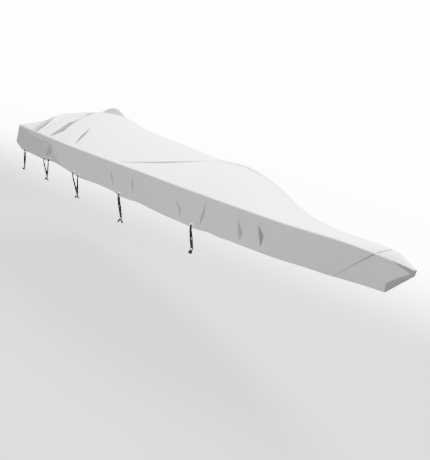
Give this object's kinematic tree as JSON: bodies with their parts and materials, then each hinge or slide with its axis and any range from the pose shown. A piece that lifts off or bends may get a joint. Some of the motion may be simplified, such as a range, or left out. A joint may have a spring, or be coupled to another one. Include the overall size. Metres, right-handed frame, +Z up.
{
  "type": "boat cover",
  "caption": "Fitted cloth cover for an open motor boat: ridged top, skirt all round with eyelets in its hem, and cord ties with beads.",
  "frame": {"origin": "mount boat_top: underside of the top's ridge, 2.60 m forward of the transom, where the boat holds the cover up", "axes": "+X forward to the bow, +Y to port, +Z up; the gunwale line is about 0.36 m below the origin at the transom and 0.30 m below it amidships"},
  "size_m": [5.2081, 1.7808, 1.0621],
  "materials": {
    "top_cloth": "matte coated weave, near white",
    "skirt_cloth": "matte coated weave, mid grey",
    "eyelet_metal": "plated, satin",
    "tie_cord": "matte laid cord, near black",
    "bead_plastic": "satin, off white"
  },
  "bodies": {
    "root": {"top_main": "top_cloth", "top_bow": "top_cloth", "skirt_starboard": "skirt_cloth", "skirt_port": "skirt_cloth", "skirt_transom": "skirt_cloth", "skirt_bow": "skirt_cloth", "eyelet_starboard_1": "eyelet_metal", "eyelet_starboard_2": "eyelet_metal", "eyelet_starboard_3": "eyelet_metal", "eyelet_starboard_4": "eyelet_metal", "eyelet_starboard_5": "eyelet_metal", "eyelet_starboard_6": "eyelet_metal", "eyelet_starboard_7": "eyelet_metal", "eyelet_port_1": "eyelet_metal", "eyelet_port_2": "eyelet_metal", "eyelet_port_3": "eyelet_metal", "eyelet_port_4": "eyelet_metal", "eyelet_port_5": "eyelet_metal", "eyelet_port_6": "eyelet_metal", "eyelet_port_7": "eyelet_metal", "tie_starboard_1": "tie_cord", "tie_starboard_2": "tie_cord", "tie_starboard_3": "tie_cord", "tie_starboard_4": "tie_cord", "tie_starboard_5": "tie_cord", "tie_port_1": "tie_cord", "tie_port_2": "tie_cord", "tie_port_3": "tie_cord", "tie_port_4": "tie_cord", "tie_port_5": "tie_cord", "bead_starboard_1": "bead_plastic", "bead_starboard_2": "bead_plastic", "bead_starboard_3": "bead_plastic", "bead_starboard_4": "bead_plastic", "bead_starboard_5": "bead_plastic", "bead_port_1": "bead_plastic", "bead_port_2": "bead_plastic", "bead_port_3": "bead_plastic", "bead_port_4": "bead_plastic", "bead_port_5": "bead_plastic"}
  },
  "joints": []
}
